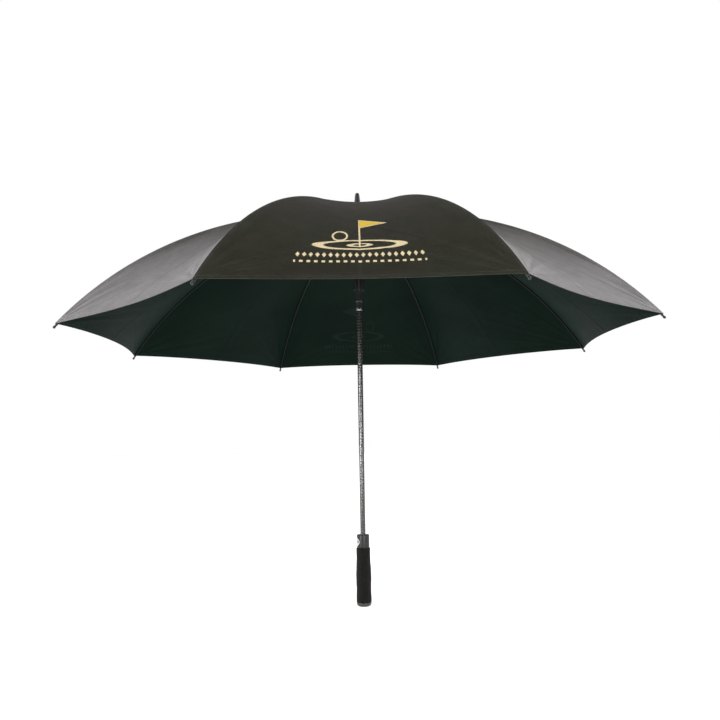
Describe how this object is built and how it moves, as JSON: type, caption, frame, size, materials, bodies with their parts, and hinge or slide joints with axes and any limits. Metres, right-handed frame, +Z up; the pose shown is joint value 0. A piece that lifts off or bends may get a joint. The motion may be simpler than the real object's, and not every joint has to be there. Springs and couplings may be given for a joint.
{
  "type": "golf umbrella",
  "caption": "Automatic stick golf umbrella, open: single canopy on fibreglass ribs, spring runner, push-button collar and contoured foam grip.",
  "frame": {"origin": "centre of the end cap's flat bottom face, at the lower end of the handle", "axes": "+Z up the shaft to the ferrule; -X is the side of the release button; -Y is the middle of one canopy panel"},
  "size_m": [1.2868, 1.2868, 1.0115],
  "materials": {
    "black_plastic": "satin",
    "gloss_plastic": "gloss",
    "button_plastic": "satin",
    "fibreglass_shaft": "satin",
    "rib_fibreglass": "satin",
    "black_steel": "satin",
    "bright_steel": "polished",
    "grip_foam": "matte",
    "canopy_cloth": "satin"
  },
  "bodies": {
    "frame": {"shaft": "fibreglass_shaft", "ferrule": "black_plastic", "top_washer": "black_plastic", "top_notch": "black_plastic", "notch_wire": "bright_steel", "opening_spring": "bright_steel", "spring_seat": "bright_steel", "handle_collar": "black_plastic", "button_spring": "bright_steel", "handle_core": "black_plastic", "grip": "grip_foam", "end_cap": "gloss_plastic"},
    "runner_body": {"runner": "black_plastic", "runner_wire": "bright_steel", "runner_catch": "bright_steel", "drive_pin": "bright_steel", "spring_plunger": "black_plastic"},
    "button_body": {"release_button": "button_plastic"},
    "rib_1": {"rib_inner_1": "rib_fibreglass"},
    "rib_end_1": {"rib_outer_1": "rib_fibreglass", "rib_tip_1": "black_plastic", "canopy_panel_1": "canopy_cloth"},
    "arm_1": {"stretcher_1": "black_steel"},
    "rib_2": {"rib_inner_2": "rib_fibreglass"},
    "rib_end_2": {"rib_outer_2": "rib_fibreglass", "rib_tip_2": "black_plastic", "canopy_panel_2": "canopy_cloth"},
    "arm_2": {"stretcher_2": "black_steel"},
    "rib_3": {"rib_inner_3": "rib_fibreglass"},
    "rib_end_3": {"rib_outer_3": "rib_fibreglass", "rib_tip_3": "black_plastic", "canopy_panel_3": "canopy_cloth"},
    "arm_3": {"stretcher_3": "black_steel"},
    "rib_4": {"rib_inner_4": "rib_fibreglass"},
    "rib_end_4": {"rib_outer_4": "rib_fibreglass", "rib_tip_4": "black_plastic", "canopy_panel_4": "canopy_cloth"},
    "arm_4": {"stretcher_4": "black_steel"},
    "rib_5": {"rib_inner_5": "rib_fibreglass"},
    "rib_end_5": {"rib_outer_5": "rib_fibreglass", "rib_tip_5": "black_plastic", "canopy_panel_5": "canopy_cloth"},
    "arm_5": {"stretcher_5": "black_steel"},
    "rib_6": {"rib_inner_6": "rib_fibreglass"},
    "rib_end_6": {"rib_outer_6": "rib_fibreglass", "rib_tip_6": "black_plastic", "canopy_panel_6": "canopy_cloth"},
    "arm_6": {"stretcher_6": "black_steel"},
    "rib_7": {"rib_inner_7": "rib_fibreglass"},
    "rib_end_7": {"rib_outer_7": "rib_fibreglass", "rib_tip_7": "black_plastic", "canopy_panel_7": "canopy_cloth"},
    "arm_7": {"stretcher_7": "black_steel"},
    "rib_8": {"rib_inner_8": "rib_fibreglass"},
    "rib_end_8": {"rib_outer_8": "rib_fibreglass", "rib_tip_8": "black_plastic", "canopy_panel_8": "canopy_cloth"},
    "arm_8": {"stretcher_8": "black_steel"}
  },
  "joints": [
    {"name": "runner_slide", "type": "slide", "parent": "frame", "child": "runner_body", "axis": [0, 0, -1], "range_m": [0, 0.56092], "stiffness_N_per_m": 90, "springref_m": -0.25, "deforming": ["opening_spring", "canopy_panel_1", "canopy_panel_2", "canopy_panel_3", "canopy_panel_4", "canopy_panel_5", "canopy_panel_6", "canopy_panel_7", "canopy_panel_8"]},
    {"name": "button_press", "type": "slide", "parent": "frame", "child": "button_body", "axis": [1, 0, 0], "range_m": [0, 0.0022], "stiffness_N_per_m": 400, "springref_m": -0.002, "deforming": ["button_spring"]},
    {"name": "rib_hinge_1", "type": "hinge", "parent": "frame", "child": "rib_1", "pos_m": [0.00406, -0.00979, 0.94823], "axis": [0.9239, 0.3827, 0], "range_deg": [0, 77.85]},
    {"name": "rib_bend_1", "type": "hinge", "parent": "rib_1", "child": "rib_end_1", "pos_m": [0.13711, -0.33101, 0.8788], "axis": [0.9239, 0.3827, 0], "range_deg": [-24.79, 0]},
    {"name": "stretcher_hinge_1", "type": "hinge", "parent": "rib_1", "child": "arm_1", "pos_m": [0.13675, -0.33015, 0.87409], "axis": [0.9239, 0.3827, 0], "range_deg": [-155.83, 0]},
    {"name": "rib_hinge_2", "type": "hinge", "parent": "frame", "child": "rib_2", "pos_m": [0.00979, -0.00406, 0.94823], "axis": [0.3827, 0.9239, 0], "range_deg": [0, 77.85]},
    {"name": "rib_bend_2", "type": "hinge", "parent": "rib_2", "child": "rib_end_2", "pos_m": [0.33101, -0.13711, 0.8788], "axis": [0.3827, 0.9239, 0], "range_deg": [-24.79, 0]},
    {"name": "stretcher_hinge_2", "type": "hinge", "parent": "rib_2", "child": "arm_2", "pos_m": [0.33015, -0.13675, 0.87409], "axis": [0.3827, 0.9239, 0], "range_deg": [-155.83, 0]},
    {"name": "rib_hinge_3", "type": "hinge", "parent": "frame", "child": "rib_3", "pos_m": [0.00979, 0.00406, 0.94823], "axis": [-0.3827, 0.9239, 0], "range_deg": [0, 77.85]},
    {"name": "rib_bend_3", "type": "hinge", "parent": "rib_3", "child": "rib_end_3", "pos_m": [0.33101, 0.13711, 0.8788], "axis": [-0.3827, 0.9239, 0], "range_deg": [-24.79, 0]},
    {"name": "stretcher_hinge_3", "type": "hinge", "parent": "rib_3", "child": "arm_3", "pos_m": [0.33015, 0.13675, 0.87409], "axis": [-0.3827, 0.9239, 0], "range_deg": [-155.83, 0]},
    {"name": "rib_hinge_4", "type": "hinge", "parent": "frame", "child": "rib_4", "pos_m": [0.00406, 0.00979, 0.94823], "axis": [-0.9239, 0.3827, 0], "range_deg": [0, 77.85]},
    {"name": "rib_bend_4", "type": "hinge", "parent": "rib_4", "child": "rib_end_4", "pos_m": [0.13711, 0.33101, 0.8788], "axis": [-0.9239, 0.3827, 0], "range_deg": [-24.79, 0]},
    {"name": "stretcher_hinge_4", "type": "hinge", "parent": "rib_4", "child": "arm_4", "pos_m": [0.13675, 0.33015, 0.87409], "axis": [-0.9239, 0.3827, 0], "range_deg": [-155.83, 0]},
    {"name": "rib_hinge_5", "type": "hinge", "parent": "frame", "child": "rib_5", "pos_m": [-0.00406, 0.00979, 0.94823], "axis": [-0.9239, -0.3827, 0], "range_deg": [0, 77.85]},
    {"name": "rib_bend_5", "type": "hinge", "parent": "rib_5", "child": "rib_end_5", "pos_m": [-0.13711, 0.33101, 0.8788], "axis": [-0.9239, -0.3827, 0], "range_deg": [-24.79, 0]},
    {"name": "stretcher_hinge_5", "type": "hinge", "parent": "rib_5", "child": "arm_5", "pos_m": [-0.13675, 0.33015, 0.87409], "axis": [-0.9239, -0.3827, 0], "range_deg": [-155.83, 0]},
    {"name": "rib_hinge_6", "type": "hinge", "parent": "frame", "child": "rib_6", "pos_m": [-0.00979, 0.00406, 0.94823], "axis": [-0.3827, -0.9239, 0], "range_deg": [0, 77.85]},
    {"name": "rib_bend_6", "type": "hinge", "parent": "rib_6", "child": "rib_end_6", "pos_m": [-0.33101, 0.13711, 0.8788], "axis": [-0.3827, -0.9239, 0], "range_deg": [-24.79, 0]},
    {"name": "stretcher_hinge_6", "type": "hinge", "parent": "rib_6", "child": "arm_6", "pos_m": [-0.33015, 0.13675, 0.87409], "axis": [-0.3827, -0.9239, 0], "range_deg": [-155.83, 0]},
    {"name": "rib_hinge_7", "type": "hinge", "parent": "frame", "child": "rib_7", "pos_m": [-0.00979, -0.00406, 0.94823], "axis": [0.3827, -0.9239, 0], "range_deg": [0, 77.85]},
    {"name": "rib_bend_7", "type": "hinge", "parent": "rib_7", "child": "rib_end_7", "pos_m": [-0.33101, -0.13711, 0.8788], "axis": [0.3827, -0.9239, 0], "range_deg": [-24.79, 0]},
    {"name": "stretcher_hinge_7", "type": "hinge", "parent": "rib_7", "child": "arm_7", "pos_m": [-0.33015, -0.13675, 0.87409], "axis": [0.3827, -0.9239, 0], "range_deg": [-155.83, 0]},
    {"name": "rib_hinge_8", "type": "hinge", "parent": "frame", "child": "rib_8", "pos_m": [-0.00406, -0.00979, 0.94823], "axis": [0.9239, -0.3827, 0], "range_deg": [0, 77.85]},
    {"name": "rib_bend_8", "type": "hinge", "parent": "rib_8", "child": "rib_end_8", "pos_m": [-0.13711, -0.33101, 0.8788], "axis": [0.9239, -0.3827, 0], "range_deg": [-24.79, 0]},
    {"name": "stretcher_hinge_8", "type": "hinge", "parent": "rib_8", "child": "arm_8", "pos_m": [-0.13675, -0.33015, 0.87409], "axis": [0.9239, -0.3827, 0], "range_deg": [-155.83, 0]}
  ],
  "couplings": [
    {"joint": "rib_hinge_1", "follows": "runner_slide", "rad_per_m": 2.4218},
    {"joint": "rib_bend_1", "follows": "runner_slide", "rad_per_m": -0.77084},
    {"joint": "stretcher_hinge_1", "follows": "runner_slide", "rad_per_m": -4.8479},
    {"joint": "rib_hinge_2", "follows": "runner_slide", "rad_per_m": 2.4218},
    {"joint": "rib_bend_2", "follows": "runner_slide", "rad_per_m": -0.77084},
    {"joint": "stretcher_hinge_2", "follows": "runner_slide", "rad_per_m": -4.8479},
    {"joint": "rib_hinge_3", "follows": "runner_slide", "rad_per_m": 2.4218},
    {"joint": "rib_bend_3", "follows": "runner_slide", "rad_per_m": -0.77084},
    {"joint": "stretcher_hinge_3", "follows": "runner_slide", "rad_per_m": -4.8479},
    {"joint": "rib_hinge_4", "follows": "runner_slide", "rad_per_m": 2.4218},
    {"joint": "rib_bend_4", "follows": "runner_slide", "rad_per_m": -0.77084},
    {"joint": "stretcher_hinge_4", "follows": "runner_slide", "rad_per_m": -4.8479},
    {"joint": "rib_hinge_5", "follows": "runner_slide", "rad_per_m": 2.4218},
    {"joint": "rib_bend_5", "follows": "runner_slide", "rad_per_m": -0.77084},
    {"joint": "stretcher_hinge_5", "follows": "runner_slide", "rad_per_m": -4.8479},
    {"joint": "rib_hinge_6", "follows": "runner_slide", "rad_per_m": 2.4218},
    {"joint": "rib_bend_6", "follows": "runner_slide", "rad_per_m": -0.77084},
    {"joint": "stretcher_hinge_6", "follows": "runner_slide", "rad_per_m": -4.8479},
    {"joint": "rib_hinge_7", "follows": "runner_slide", "rad_per_m": 2.4218},
    {"joint": "rib_bend_7", "follows": "runner_slide", "rad_per_m": -0.77084},
    {"joint": "stretcher_hinge_7", "follows": "runner_slide", "rad_per_m": -4.8479},
    {"joint": "rib_hinge_8", "follows": "runner_slide", "rad_per_m": 2.4218},
    {"joint": "rib_bend_8", "follows": "runner_slide", "rad_per_m": -0.77084},
    {"joint": "stretcher_hinge_8", "follows": "runner_slide", "rad_per_m": -4.8479}
  ]
}
